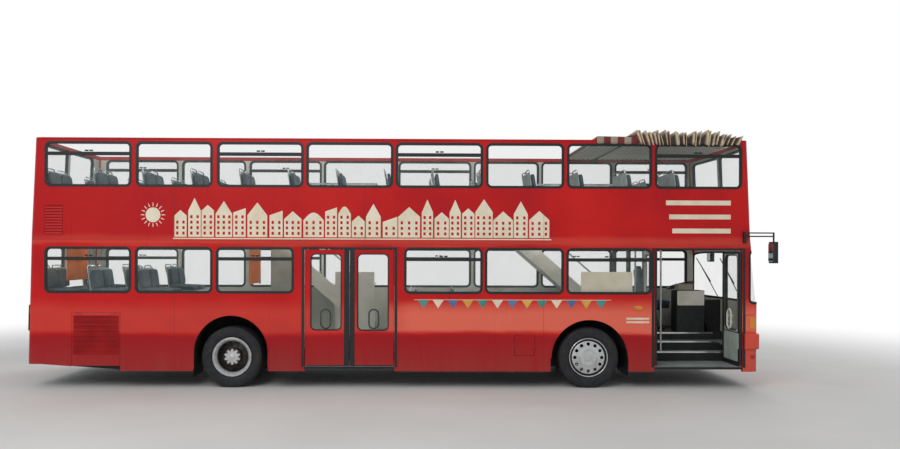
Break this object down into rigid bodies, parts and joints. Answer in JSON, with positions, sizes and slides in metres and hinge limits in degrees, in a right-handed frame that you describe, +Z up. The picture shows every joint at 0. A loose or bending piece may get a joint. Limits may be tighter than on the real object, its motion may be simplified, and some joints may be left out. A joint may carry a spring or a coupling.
{
  "type": "open top double decker bus",
  "caption": "Two-deck sightseeing bus with open upper deck, folded canvas roof, steering wheels, hinged door leaves and service lids.",
  "frame": {"origin": "on the ground under the middle of the whole outline, mirrors included", "axes": "+X forward, +Y to the vehicle left, +Z up"},
  "size_m": [11.7097, 2.77, 4.0899],
  "materials": {
    "body_paint": "gloss enamel, dulled",
    "door_paint": "gloss enamel, dulled",
    "cab_plastic": "grained moulding",
    "chassis_paint": "matt underbody black",
    "driver_fabric": "woven",
    "window_rubber": "matt",
    "engine_iron": "painted cast",
    "step_rubber": "ribbed",
    "roof_canvas": "striped coated canvas",
    "rail_chrome": "polished",
    "axle_iron": "painted cast",
    "lamp_lens": "ribbed lens",
    "window_glass": "slightly green tint",
    "floor_cover": "studded sheet",
    "seat_fabric": "woven plush",
    "mirror_plastic": "moulded black",
    "roof_steel": "gloss",
    "stair_plastic": "laminate",
    "wheel_plastic": "moulded black",
    "housing_paint": "underseal",
    "tyre": "road tyre",
    "rim_paint": "silver wheel paint"
  },
  "bodies": {
    "body": {"cab": "cab_plastic", "chassis_frame": "chassis_paint", "driver_seat": "driver_fabric", "end_gaskets": "window_rubber", "engine_block": "engine_iron", "entrance_steps": "step_rubber", "folded_roof": "roof_canvas", "front_axle": "chassis_paint", "front_bumper": "body_paint", "front_mask": "body_paint", "front_upper": "body_paint", "handrails": "rail_chrome", "lamps": "lamp_lens", "left_glass": "window_glass", "left_lower_side": "body_paint", "left_upper_side": "body_paint", "lower_floor": "floor_cover", "lower_seats": "seat_fabric", "mirrors": "mirror_plastic", "rear_axle": "axle_iron", "rear_glass": "window_glass", "rear_lower": "body_paint", "rear_upper": "body_paint", "right_middle_glass": "window_glass", "right_middle_side": "body_paint", "right_rear_glass": "window_glass", "right_rear_side": "body_paint", "right_upper_glass": "window_glass", "right_upper_side": "body_paint", "roof_frame": "roof_steel", "stairs": "stair_plastic", "steering_wheel": "wheel_plastic", "tow_jaw": "chassis_paint", "upper_floor": "floor_cover", "upper_front_glass": "window_glass", "upper_seats": "seat_fabric", "wheel_housings": "housing_paint", "window_gaskets": "window_rubber", "windscreen": "window_glass"},
    "middle_rear_leaf": {"middle_door_rear_leaf": "door_paint", "middle_door_rear_leaf_glass": "window_glass"},
    "middle_front_leaf": {"middle_door_front_leaf": "door_paint", "middle_door_front_leaf_glass": "window_glass"},
    "front_rear_leaf": {"front_door_rear_leaf": "door_paint", "front_door_rear_leaf_glass": "window_glass"},
    "front_front_leaf": {"front_door_front_leaf": "door_paint", "front_door_front_leaf_glass": "window_glass"},
    "steering_left": {"knuckle_left": "axle_iron"},
    "steering_right": {"knuckle_right": "axle_iron"},
    "front_wheel_left": {"front_tyre_left": "tyre", "front_rim_left": "rim_paint"},
    "front_wheel_right": {"front_tyre_right": "tyre", "front_rim_right": "rim_paint"},
    "rear_wheels_left": {"rear_tyres_left": "tyre", "rear_rims_left": "rim_paint"},
    "rear_wheels_right": {"rear_tyres_right": "tyre", "rear_rims_right": "rim_paint"},
    "engine_cover": {"engine_lid": "body_paint"},
    "side_cover": {"side_hatch": "body_paint"},
    "filler_cover": {"filler_flap": "body_paint"}
  },
  "joints": [
    {"name": "steer_left", "type": "hinge", "parent": "body", "child": "steering_left", "pos_m": [2.907, 0.9, 0.479], "axis": [0, 0, 1], "range_deg": [-40, 40]},
    {"name": "steer_right", "type": "hinge", "parent": "body", "child": "steering_right", "pos_m": [2.907, -0.9, 0.479], "axis": [0, 0, 1], "range_deg": [-40, 40]},
    {"name": "roll_front_left", "type": "hinge", "parent": "steering_left", "child": "front_wheel_left", "pos_m": [2.907, 1.05, 0.479], "axis": [0, 1, 0], "continuous": true},
    {"name": "roll_front_right", "type": "hinge", "parent": "steering_right", "child": "front_wheel_right", "pos_m": [2.907, -1.05, 0.479], "axis": [0, 1, 0], "continuous": true},
    {"name": "roll_rear_left", "type": "hinge", "parent": "body", "child": "rear_wheels_left", "pos_m": [-2.696, 0.9, 0.479], "axis": [0, 1, 0], "continuous": true},
    {"name": "roll_rear_right", "type": "hinge", "parent": "body", "child": "rear_wheels_right", "pos_m": [-2.696, -0.9, 0.479], "axis": [0, 1, 0], "continuous": true},
    {"name": "middle_rear_door", "type": "hinge", "parent": "body", "child": "middle_rear_leaf", "pos_m": [-1.53, -1.225, 1.2], "axis": [0, 0, 1], "range_deg": [0, 90]},
    {"name": "middle_front_door", "type": "hinge", "parent": "body", "child": "middle_front_leaf", "pos_m": [-0.176, -1.225, 1.2], "axis": [0, 0, -1], "range_deg": [0, 90]},
    {"name": "front_rear_door", "type": "hinge", "parent": "body", "child": "front_rear_leaf", "pos_m": [3.95, -1.225, 1.2], "axis": [0, 0, -1], "range_deg": [0, 90]},
    {"name": "front_front_door", "type": "hinge", "parent": "body", "child": "front_front_leaf", "pos_m": [5.286, -1.225, 1.2], "axis": [0, 0, 1], "range_deg": [0, 90]},
    {"name": "engine_lid_hinge", "type": "hinge", "parent": "body", "child": "engine_cover", "pos_m": [-5.876, 0, 1.308], "axis": [0, 1, 0], "range_deg": [0, 80]},
    {"name": "side_hatch_hinge", "type": "hinge", "parent": "body", "child": "side_cover", "pos_m": [-4.789, -1.256, 1.182], "axis": [-1, 0, 0], "range_deg": [0, 85]},
    {"name": "filler_flap_hinge", "type": "hinge", "parent": "body", "child": "filler_cover", "pos_m": [1.886, -1.256, 0.842], "axis": [-1, 0, 0], "range_deg": [0, 85]}
  ],
  "couplings": [
    {"joint": "steer_right", "follows": "steer_left", "ratio": 1}
  ]
}
